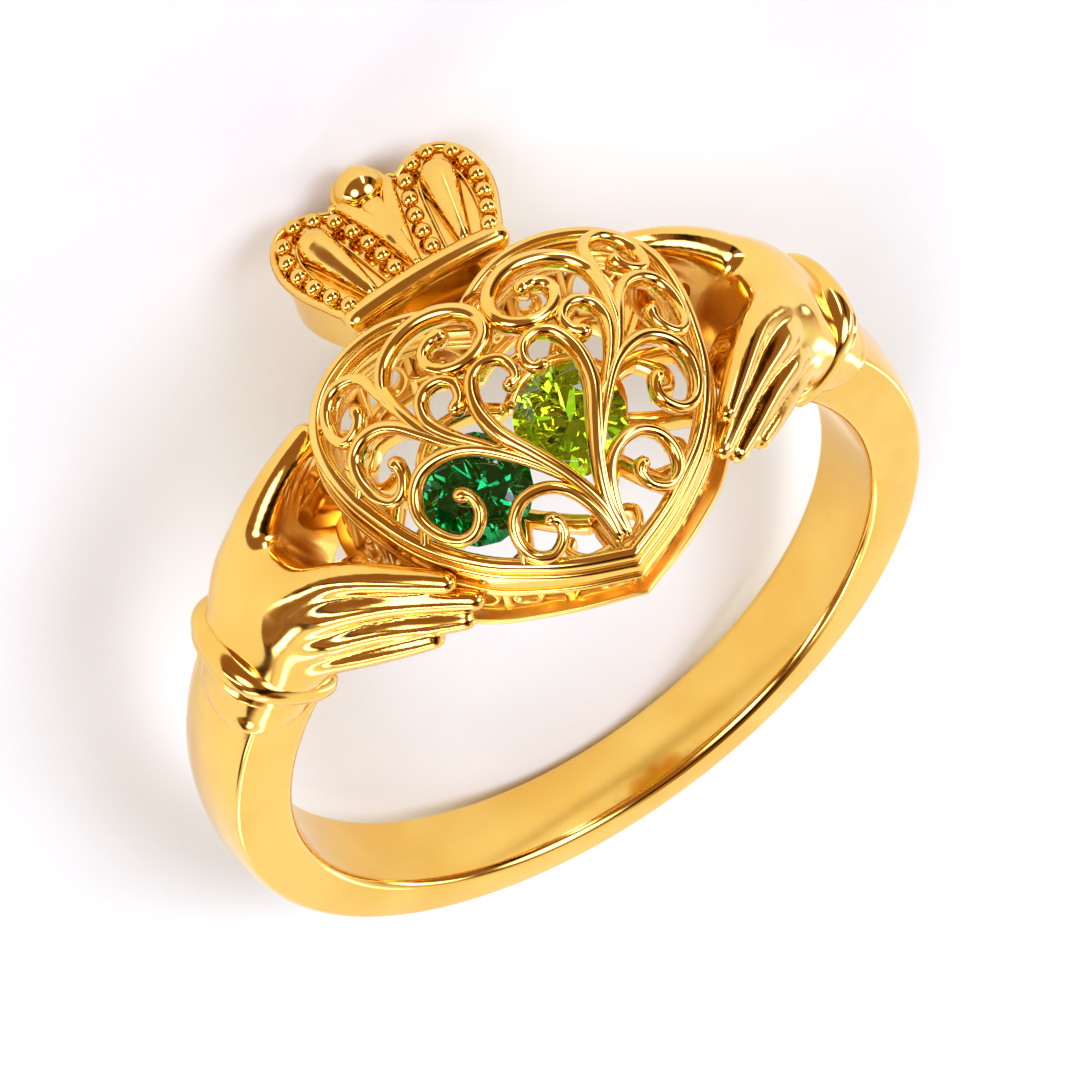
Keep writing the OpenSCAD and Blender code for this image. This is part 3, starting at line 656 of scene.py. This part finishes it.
# the pierced course's cells from notch to point, its wires and posts, and what is drawn in a cell
cells = 9
wall_scroll_half_t, post_half_w, post_half_t = 0.15, 0.11, 0.16
scroll_motif = np.array([
    [0.02, 0.02], [0.06, 0.4], [0.16, 0.76], [0.36, 0.95], [0.62, 0.93], [0.82, 0.74], [0.87, 0.45],
    [0.74, 0.24], [0.55, 0.24], [0.46, 0.42], [0.54, 0.57]])
foot_motif = np.array([[0.1, 0.04], [0.3, 0.12], [0.6, 0.05], [0.96, 0.02]])
tip_motif = np.array([[0.8, 0.75], [0.88, 0.86], [0.98, 0.98]])


def on_wall(cell, motif):
    """A curve drawn in a cell of the pierced course, both ways from 0 to 1, laid on the wall."""
    line = even(spline(motif, 6), 44)
    i = (cell + line[:, 0]) / cells * (half_count - 1)
    at = np.arange(half_count)
    out = read_at(i, at, heart_out[:half_count])
    low, high = (np.interp(i, at, v[:half_count]) for v in (rail_top, ledge_foot))
    place = read_at(i, at, heart_half) + out * wall_middle
    out = np.column_stack([out, np.zeros(len(out))])
    return np.column_stack([place, low + line[:, 1] * (high - low)]), unit(out), high - low


for cell in range(cells):
    for motif, thin in ((scroll_motif, 1.0), (foot_motif, 0.8), (tip_motif, 0.8)):
        turned_motif = motif * [-1, 1] + [1, 0]
        path, out, gap = on_wall(cell, turned_motif if cell % 2 else motif)
        r = thin * np.interp(gap, [0.3, 1.6], [0.065, 0.12])
        gallery_parts += pair(sweep(path, out, r, wall_scroll_half_t, sides=10))
for cell in range(cells + 1):
    i = round(cell / cells * (half_count - 1))
    place = heart_half[i] + heart_out[i] * wall_middle
    path = np.linspace([*place, rail_top[i] - 0.05], [*place, ledge_foot[i] + 0.05], 8)
    outward_here = np.append(heart_out[i], 0)
    post = sweep(path, outward_here, post_half_w, post_half_t, squareness=3, round_ends=False)
    gallery_parts += [post] if cell in (0, cells) else pair(post)


def in_the_pierced_course(p):
    """0.6 well under the parting line, and 0 at it."""
    return 0.6 * ramp(rim_height(p[:, 1]) - p[:, 2], 0.5, 0.9)


gallery = make_piece("heart_gallery", gallery_parts, ring_gold, satin=in_the_pierced_course)
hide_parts("ring_body")

# Open back: flat scroll bars that close the cage toward the finger, sawn from sheet, bent to
# the finger's round and soldered inside the gallery.

back_bar_w, back_curl_w, back_bar_t = 0.36, 0.22, 0.5
# right half, in hundredths of the heart's width: half of a small heart and its bars to the wall,
# then the curls on them
back_bars = [
    [[0, 2], [8, 8], [18, 9], [26, 3], [27, -7], [22, -17], [14, -27], [6, -36], [0, -41]],
    [[18, 9], [24, 16], [31, 23]], [[27, -3], [36, 0], [49, -1]], [[22, -17], [31, -21], [44, -24]],
    [[14, -27], [19, -37], [26, -46]], [[0, -41], [0, -50], [0, -58]]]
back_curls = [
    [[24, 16], [32, 17], [38, 12], [37, 6], [32, 6]], [[36, 0], [41, -7], [39, -13], [34, -12]],
    [[19, -37], [27, -37], [31, -32], [28, -28]], [[0, -50], [7, -49], [10, -44], [7, -41]]]


def back_bar(line, width):
    """A bar bent over the finger: the curve is dropped on a cylinder, and its section is a
    rounded square with the cylinder's own normal."""
    flat = even(spline(np.array(line) * heart_w / 100, 8), 40)
    path = np.column_stack([flat, finger_drop(flat[:, 0], wall_lift + back_bar_t / 2)])
    return sweep(path, unit(path * [1, 0, 1]), width / 2, back_bar_t / 2, squareness=3.5, sides=16)


back_parts = []
for lines, width in ((back_bars, back_bar_w), (back_curls, back_curl_w)):
    for line in lines:
        back_parts += pair(back_bar(line, width))
back = make_piece("open_back", back_parts, ring_gold)
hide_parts("ring_body")

# Crown: a thick cast plate whose two petals are edged with beads round a long drop, with a bud
# on a pair of leaves between them and a rounded bar along its base. A lug joins it to the heart.

crown_w, crown_l = 5.2, 3.2
crown_h, crown_under = 3.05, 1.1
bead_r, base_bar_r, crown_gap = 0.21, 0.33, 0.37
petal_lip, petal_floor, petal_wire_half_w, petal_wire_half_d = 0.1, 0.17, 0.055, 0.13
drop_r, drop_rise = 0.09 * crown_w, 1.1
stem_half_w, stem_half_d = np.linspace(0.12, 0.34, 20), 0.2
bud_radii = np.array([0.116, 0.112, 0.11]) * crown_w
lobe_top = 0.259 * heart_w
base_bar_y = lobe_top + rim_wire_r + crown_gap + base_bar_r
crown_start = base_bar_y + 0.16 * base_bar_r
crown_face = finger_r + crown_h - 1.8 * bead_r
lug_face = finger_r + crown_under + 0.04 * (crown_h - crown_under)
straight_out = np.array([0.0, 0.0, 1.0])
# right half of the crown's edge, its beads and a leaf, in hundredths of its width and length
crown_edge = np.array([
    [0, 0], [34, 0], [38.5, 10], [43, 25], [47.5, 42], [50, 60], [49.3, 76], [46, 89], [41, 97],
    [34.5, 100], [27, 98], [20.5, 92], [16.5, 90], [14, 94], [10.5, 93], [10, 103], [6.5, 111],
    [0, 114]])
crown_beads = np.array([
    [36, 8], [40.2, 22], [43.8, 37], [46.3, 53], [46.8, 69], [44, 83.5], [34.8, 94.5], [26, 91],
    [18.6, 80], [15, 64], [12.4, 48], [10.6, 32], [9.6, 16.5]])
petal_frame = np.array([
    [14.5, 6], [16.6, 26], [19, 46], [21.3, 64], [24.5, 79], [30, 87.5], [36, 86], [40.3, 76],
    [41.6, 62], [40.4, 44], [37.2, 25], [31.5, 6]])
leaf_line = np.array([[0.8, 10], [2.2, 32], [4.0, 52], [7.0, 70], [10.8, 85], [13.6, 93.5]])
leaf_half_w = np.array([[0.07], [0.15], [0.23], [0.24], [0.19], [0.13]])
# a plate's lip, from its outer side to the floor: how far in, in lips, then how far below the
# face, in lips and in depths of the floor
lip_bend = [[0, 1, 0], [0.12, 0.6, 0], [0.36, 0.28, 0], [0.75, 0.06, 0], [1.2, 0, 0], [1.6, 0.12, 0],
            [1.8, 0, 0.6], [1.9, 0, 1]]


def on_crown(line):
    """Points drawn in hundredths of the crown's width and length, in millimetres."""
    return np.array(line) * [crown_w / 100, crown_l / 100] + [0, crown_start]


def at_height(line, z):
    """A flat line set at a height."""
    return np.column_stack([line, np.full(len(line), z)])


def plate(edge, middle, foot, face, lip, floor):
    """A plate whose edge is star-shaped about its middle, as rings from its underside, which
    follows the finger, up its wall, over its lip and in on its sunk floor. A ring is the edge
    drawn to the middle by a share, or moved in along its normals."""
    out = outline_normals(edge)
    low = finger_drop(edge[:, 0], foot)
    rings = []
    for share in (0.05, 0.5, 0.98):
        inner = middle + (edge - middle) * share
        rings.append(np.column_stack([inner, finger_drop(inner[:, 0], foot)]))
    for share in (0.02, 0.4, 0.9):
        rings.append(np.column_stack([edge, low + share * (face - lip - low)]))
    for inset, lips_down, floors_down in lip_bend:
        rings.append(at_height(edge - out * inset * lip, face - lips_down * lip - floors_down * floor))
    floor_edge = edge - out * 2.1 * lip
    for share in (1.0, 0.8, 0.4, 0.1):
        rings.append(at_height(middle + (floor_edge - middle) * share, face - floor))
    return skin(np.array(rings))


def ball(centre, r, around=18, rows=12):
    """A round bead, or an egg where r is three radii: circles of r sin from pole to pole."""
    lean = np.linspace(0, np.pi, rows + 2)[1:-1, None]
    turn = np.linspace(0, 2 * np.pi, around, endpoint=False)[None]
    rings = np.stack([np.sin(lean) * np.cos(turn), np.sin(lean) * np.sin(turn),
                      np.cos(lean) + 0 * turn], -1)
    return skin(np.asarray(centre) + r * rings)


# a drop's radius along it, both as shares
drop_profile = np.array([
    [0.0, 0.02], [0.03, 0.33], [0.2, 0.52], [0.5, 0.77], [0.72, 0.95], [0.84, 1.0], [0.94, 0.82],
    [0.985, 0.5], [1.0, 0.02]])


def drop(start, end):
    """A drop lying on the plate, turned about the line from its point to its round end and a
    little higher than round."""
    line = spline(drop_profile, 8)
    r = np.maximum(line[:, 1:], 0.02) * drop_r
    turn = np.linspace(0, 2 * np.pi, 40, endpoint=False)
    way = unit(end - start)
    across_way = np.array([way[1], -way[0]])
    middle = start + (end - start) * line[:, :1]
    xy = middle[:, None] + across_way * (r * np.cos(turn))[..., None]
    z = crown_face + drop_rise * r * np.sin(turn)
    return skin(np.concatenate([xy, z[..., None]], -1))


edge = both_sides(even(spline(on_crown(crown_edge), 10), 120))
crown_parts = [plate(edge, on_crown([0, 40]), crown_under, crown_face, petal_lip, petal_floor)]
for x, y in on_crown(crown_beads):
    crown_parts += pair(ball([x, y, crown_face + 0.45 * bead_r], bead_r))
crown_parts += pair(drop(on_crown([23.5, 7]), on_crown([33.5, 82])))

leaf_path = at_height(on_crown(spline(leaf_line, 8)), crown_face)
leaf_w = spline(leaf_half_w, 8)[:, 0]
leaf_d = np.clip(1.4 * leaf_w, 0.2, 0.28)
crown_parts += pair(sweep(leaf_path, straight_out, leaf_w, leaf_d, squareness=2.3, sides=20))
stem_foot = [*on_crown([0, 7]), crown_face + 0.06]
stem_head = [*on_crown([0, 84]), crown_face + 0.1]
stem_path = np.linspace(stem_foot, stem_head, len(stem_half_w))
crown_parts += [sweep(stem_path, straight_out, stem_half_w, stem_half_d, sides=20),
                ball([*on_crown([0, 98.5]), crown_face - 0.02], bud_radii, around=48, rows=28)]
wire_path = at_height(on_crown(even(spline(petal_frame, 8), 90)), crown_face - petal_floor)
crown_parts += pair(sweep(wire_path, straight_out, petal_wire_half_w, petal_wire_half_d, sides=10))

# the base bar bows a little toward the petals in the middle, and its ends bend down
bar_half_l, bar_bow, bar_bend = 0.355 * crown_w + base_bar_r, 0.06, 0.16
share = np.linspace(-1, 1, 60)
bar_path = np.column_stack([bar_half_l * share, base_bar_y + bar_bow * (1 - share**2),
                            crown_face - 0.02 - bar_bend * share**2])
crown_parts.append(sweep(bar_path, straight_out, base_bar_r, base_bar_r * 1.02, sides=28))

# the lug runs from the wall in the heart's notch to under the crown, nearly as wide as its base
lug_end = crown_start + base_bar_r
lug_edge = np.array([
    [0.0, lug_end], [0.31 * crown_w, lug_end], [0.31 * crown_w, base_bar_y],
    [0.28 * crown_w, 0.23 * heart_w], [0.15 * crown_w, 0.205 * heart_w], [0, 0.19 * heart_w]])
lug_edge = both_sides(even(spline(lug_edge, 8), 60))
lug_middle = np.array([0, base_bar_y - 0.3])
crown_parts.append(plate(lug_edge, lug_middle, crown_under, lug_face, lip=0.05, floor=0.0))


def behind_the_bar(p):
    """0.4 under the base bar on the heart's side, and 0 elsewhere."""
    return 0.4 * ramp(base_bar_y - p[:, 1], 0.0, 0.2) * ramp(crown_face - p[:, 2], 0.4, 0.8)


crown = make_piece("crown", crown_parts, ring_gold, crease=50, satin=behind_the_bar)
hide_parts("ring_body")

# Heart's front: a round rim wire and seven mirrored pairs of tapered scrolls with balled ends,
# which swell over the stones. It is pierced and carved, and seated on the gallery last.

grille_gold = polished_gold("polished_grille_gold", deep=(0.94, 0.58, 0.12, 1),
                            light=(0.98, 0.67, 0.17, 1), roughness=0.1)
grille_h, grille_r = 4.45, 5.8
swell_y = 0.057 * heart_w
scroll_w, scroll_depth, scroll_sink = 0.42, 1.45, 0.31
scroll_ball = 0.34
# scrolls of the right half from root to curled end, in hundredths of the heart's width, with
# their thickness at the root, in the middle and at the curl in shares of the scroll wire's
scrolls = [
    ([[25, -20], [28, -14], [30, -6], [30.5, -0.5], [29.8, 3], [26.5, 7.2], [21, 9.8], [14, 10.2],
      [8, 8.2], [3.5, 4.4], [1.7, 0], [2.8, -4], [6.7, -6.7], [11.4, -7.3], [16, -5.6], [18.4, -2.2],
      [18, 1.2], [15, 3], [12, 2.4], [10.8, 0.6]], (0.6, 1.0, 0.75)),
    ([[15, -29.5], [16.5, -27.5], [21.7, -21.4], [25, -16], [26, -12], [25, -8.3], [22, -6.4],
      [18.2, -7], [15.8, -9.7], [16.3, -13.2], [18.5, -14.9], [20.4, -14]], (0.5, 0.8, 0.7)),
    ([[0.8, -57], [0.8, -50], [4, -42], [8.6, -34.3], [13, -27], [14.5, -20.6], [14, -15.6],
      [11.5, -11.4], [7.5, -10], [3.5, -11.4], [1.8, -14.5], [2.5, -17.5], [5, -18], [6, -17]],
     (0.7, 1.0, 0.6)),
    ([[29.5, -9], [31, -3.8], [32, 3.6], [33, 8.8], [35.6, 11.7], [39.5, 12.7], [43, 10.7],
      [45.2, 6.8], [45.6, 2.5], [43.9, -0.7], [40.7, -0.7], [38.3, 1.7], [38, 4.7]], (0.5, 0.8, 0.65)),
    ([[11.5, -30.5], [17, -27.5], [23.5, -21.8], [28.2, -15.1], [32.5, -8.4], [36.5, -4.9],
      [41, -3.8], [44.7, -5.7], [46.2, -10.5], [45.5, -16.2], [43, -20.2], [39.8, -20.6],
      [37.5, -17.8], [37.5, -14.8], [39, -13.4]], (0.5, 0.85, 0.65)),
    ([[2, -48], [2.5, -45], [7.8, -38], [14, -31.1], [20.7, -24.9], [27.4, -21.4], [33.3, -20.6],
      [37.7, -23], [39.5, -27.6], [38, -33.2], [34.4, -37.5], [30.2, -38.5], [27, -36.2], [26.8, -33],
      [28.6, -30.7], [30.5, -30.7]], (0.5, 0.85, 0.65)),
    ([[1.2, -57.5], [2.6, -50], [6.1, -44], [11.1, -40.8], [16.9, -40], [21.2, -42.2], [22.6, -46.1],
      [21.2, -50], [17, -52.2], [13, -50.8], [12, -48], [13.3, -46.5], [15, -47]], (0.6, 0.75, 0.6))]
# ties to the rim and to each other: place in hundredths too, then share of the swelling
ties = [
    [[23, 9, 1], [19, 14, 0.75], [15, 20, 0.35], [13, 24.7, 0]],
    [[5, 6, 1], [4, 12, 0.7], [3, 18, 0.25], [3, 20.3, 0]],
    [[44.6, 8, 1], [46.5, 10, 0.2], [47.2, 11, 0]], [[46.2, -10.5, 1], [48, -11, 0.3], [48.6, -11.2, 0]],
    [[39.2, -29, 1], [41, -30.5, 0.3], [41.6, -30.6, 0]], [[22.4, -47.2, 1], [23.9, -48.7, 0]],
    [[1.7, 0, 1], [-1.7, 0, 1]], [[2, -13.5, 1], [-2, -13.5, 1]]]


def on_grille(line):
    """A curve laid on the swelling h - (x^2 + (y - y0)^2) / 2 R, or partly down to the rim."""
    x, y = line[:, 0] * heart_w / 100, line[:, 1] * heart_w / 100
    swell = finger_r + grille_h - (x**2 + (y - swell_y)**2) / (2 * grille_r)
    share = line[:, 2] if line.shape[1] > 2 else 1.0
    z = rim_height(y) + share * (swell - rim_height(y))
    return np.stack([x, y, z], -1), unit(np.stack([x, y - swell_y, grille_r + 0 * x], -1))


def scroll_wire(line, widths):
    """A scroll: its half width swells from the root to the middle and thins to the curl, and its
    end thickens again into a ball: 1 + b exp(-((d - r) / r)^2), nearly, at d from the end."""
    path, lift = on_grille(even(spline(np.array(line, float), 10), 120))
    run = distance_along(path)
    half = np.interp(run / run[-1], [0, 0.5, 1], np.array(widths) * scroll_w / 2)
    r = half[-1]
    half = half * (1 + scroll_ball * np.exp(-((run[-1] - run - 1.2 * r) / (1.1 * r))**2))
    return sweep(path, lift, half, half * scroll_depth, sink=scroll_sink, squareness=2.15, sides=18)


turn = np.radians(np.arange(0, 360, 22.5))[:, None]
rim_middle = np.column_stack([heart_line, rim_height(heart_line[:, 1])])[:, None]
rim_rings = rim_middle + rim_wire_r * (at_height(heart_out, 0)[:, None] * np.cos(turn)
                                       + straight_out * np.sin(turn))
grille_parts = [skin(rim_rings, joined=True)]
for line, widths in scrolls:
    grille_parts += pair(scroll_wire(line, widths))
for line in ties:
    path, lift = on_grille(even(spline(np.array(line, float), 8), 24))
    tie = sweep(path, lift, 0.55 * scroll_w / 2, 0.6 * scroll_w / 2, sink=0.2)
    crosses_the_middle = line[0][0] == -line[-1][0]
    grille_parts += [tie] if crosses_the_middle else pair(tie)
grille = make_piece("heart_front", grille_parts, grille_gold, crease=60)
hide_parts("heart_grille")

# Stones: a round emerald and a round peridot, cut and polished, loose in the cage. The solids
# of the frame have their facets and are shown as they are, in clear coloured crystal.

# emerald's own index, for both: at peridot's the lighter stone hides its colour behind glitter
gem_index = 1.58


def gem(name, body, flash):
    """A cut stone: clear coloured crystal whose colour deepens in faint clouds inside it."""
    material, shader, place = open_material(name)
    cloud = noise(place, 0.8, detail=3.0, distortion=1.5).between(0.3, 0.7)
    material.node_tree.links.new(cloud.mix(body, flash).socket, shader.inputs["Base Color"])
    shader.inputs["Roughness"].default_value = 0.0
    shader.inputs["IOR"].default_value = gem_index
    shader.inputs["Transmission Weight"].default_value = 1.0
    return material


clear_emerald = gem("clear_emerald", (0.0, 0.16, 0.035, 1), (0.0, 0.27, 0.07, 1))
clear_peridot = gem("clear_peridot", (0.34, 0.88, 0.01, 1), (0.53, 0.96, 0.03, 1))
for node, material in (("emerald_stone", clear_emerald), ("peridot_stone", clear_peridot)):
    stone = frame["nodes"][node]
    stone.data.materials.clear()
    stone.data.materials.append(material)

# Table and light: a plain pale surface that the ring lies on, in a soft studio dome that is
# bright ahead and warm where it is dark, with dark cards, upright bright strips and two windows.

table_size = 0.3
table_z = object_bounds()[0][2]
corners = np.array([[-1, -1], [1, -1], [1, 1], [-1, 1]]) * table_size / 2
table_mesh = bpy.data.meshes.new("white_table")
table_mesh.from_pydata([(x, y, table_z) for x, y in corners], [], [(0, 1, 2, 3)])
table = bpy.data.objects.new("white_table", table_mesh)
bpy.context.scene.collection.objects.link(table)
# a faint green takes out the pink that the warm dome leaves, so that the table looks white
white, shader, place = open_material("matt_white_table")
grain = noise(place, 0.3, detail=4.0).between(0.2, 0.8)
white.node_tree.links.new(grain.mix((0.86, 0.93, 0.85, 1), (0.88, 0.95, 0.87, 1)).socket,
                          shader.inputs["Base Color"])
shader.inputs["Roughness"].default_value = 0.9
table_mesh.materials.append(white)

studio = bpy.data.worlds.new("studio")
bpy.context.scene.world = studio
studio.use_nodes = True
tree = studio.node_tree
tree.nodes.clear()
way = Shade(tree, None).node("ShaderNodeTexCoord", output=0)


def toward(azimuth, elevation):
    """The direction at an azimuth, 0 along +Y and growing to +X, and an elevation, in degrees."""
    a, e = math.radians(azimuth), math.radians(elevation)
    return math.sin(a) * math.cos(e), math.cos(a) * math.cos(e), math.sin(e)


def facing(azimuth, elevation):
    """The cosine of the angle between where a ray goes and a direction."""
    return way.node("ShaderNodeVectorMath", {"operation": "DOT_PRODUCT"},
                    {0: way, 1: toward(azimuth, elevation)}, 1)


def spot(azimuth, elevation, inner, outer):
    """1 within an angle of a direction, and nothing past another."""
    near = facing(azimuth, elevation)
    return near.between(math.cos(math.radians(outer)), math.cos(math.radians(inner)))


def belt(azimuth, half_width, soft):
    """1 on an upright strip right round the sky, square to a direction, with soft sides."""
    off = facing(azimuth, 0)
    return off.maths("ABSOLUTE", off).between(half_width + soft, half_width)


dome_low, dome_ahead = 0.3, 0.74
# dark belts: square to which direction, half width, softness, and the share of light they take
dark_belts = [[152, 0.06, 0.16, 0.92], [17, 0.03, 0.12, 0.9]]
# dark spots: azimuth, elevation, how many degrees they reach, and the share of light they take
dark_spots = [[15, 58, 21, 0.85], [80, 68, 18, 0.75]]
# upright bright strips: azimuth, elevation of the middle, and how bright they are
bright_strips = [
    [-150, 14, 8.0], [98, 16, 8.0], [-75, 20, 8.0], [60, 30, 7.0], [-42, 10, 4.0], [34, 12, 4.0]]
# windows: azimuth, elevation, how many degrees they reach, and how bright they are
windows = [[-115, 56, 22, 6.0], [130, 46, 19, 6.0]]
amber, white_light, cool = (1.0, 0.36, 0.05, 1), (1.0, 1.0, 1.0, 1), (1.0, 0.98, 1.25, 1)

light = dome_low + dome_ahead * spot(0, 6, 45, 80)
for azimuth, half_width, soft, share in dark_belts:
    light = light * (1 - share * belt(azimuth, half_width, soft))
for azimuth, elevation, reach, share in dark_spots:
    light = light * (1 - share * spot(azimuth, elevation, 1, reach))
for azimuth, elevation, strength in bright_strips:
    light = light + strength * (belt(azimuth + 90, 0.03, 0.07) * spot(azimuth, elevation, 6, 22))
for azimuth, elevation, reach, strength in windows:
    light = light + strength * spot(azimuth, elevation, 3, reach)
tint = light.between(0.05, 1.0).mix(amber, white_light)
tint = light.between(1.1, 2.6).mix(tint, cool)
background = tree.nodes.new("ShaderNodeBackground")
world_out = tree.nodes.new("ShaderNodeOutputWorld")
tree.links.new(light.socket, background.inputs["Strength"])
tree.links.new(tint.socket, background.inputs["Color"])
tree.links.new(background.outputs[0], world_out.inputs[0])
bpy.context.scene.view_settings.view_transform = "Standard"

# Camera: the photograph's own angle to the ring, from in front of the heart and above, rolled so
# that the crown is at the upper left. A 90 mm lens fits the photograph's perspective.

camera_azimuth, camera_elevation, camera_roll = -14.96, 47.0, 137.57
camera_distance = 69.4 * MM
camera_aim = np.array([-0.46, -1.62, -1.43]) * MM
camera = bpy.data.cameras.new("photo_camera")
camera.sensor_width = 36.0
camera.lens = 90.0
camera.clip_start = 0.005
camera.clip_end = 5.0
camera_object = bpy.data.objects.new("photo_camera", camera)
bpy.context.scene.collection.objects.link(camera_object)
turned = (Matrix.Rotation(math.radians(-camera_azimuth), 4, "Z")
          @ Matrix.Rotation(math.radians(90 - camera_elevation), 4, "X")
          @ Matrix.Rotation(math.radians(camera_roll), 4, "Z"))
camera_object.matrix_world = (Matrix.Translation(Vector(camera_aim)) @ turned
                              @ Matrix.Translation((0, 0, camera_distance)))
bpy.context.scene.camera = camera_object
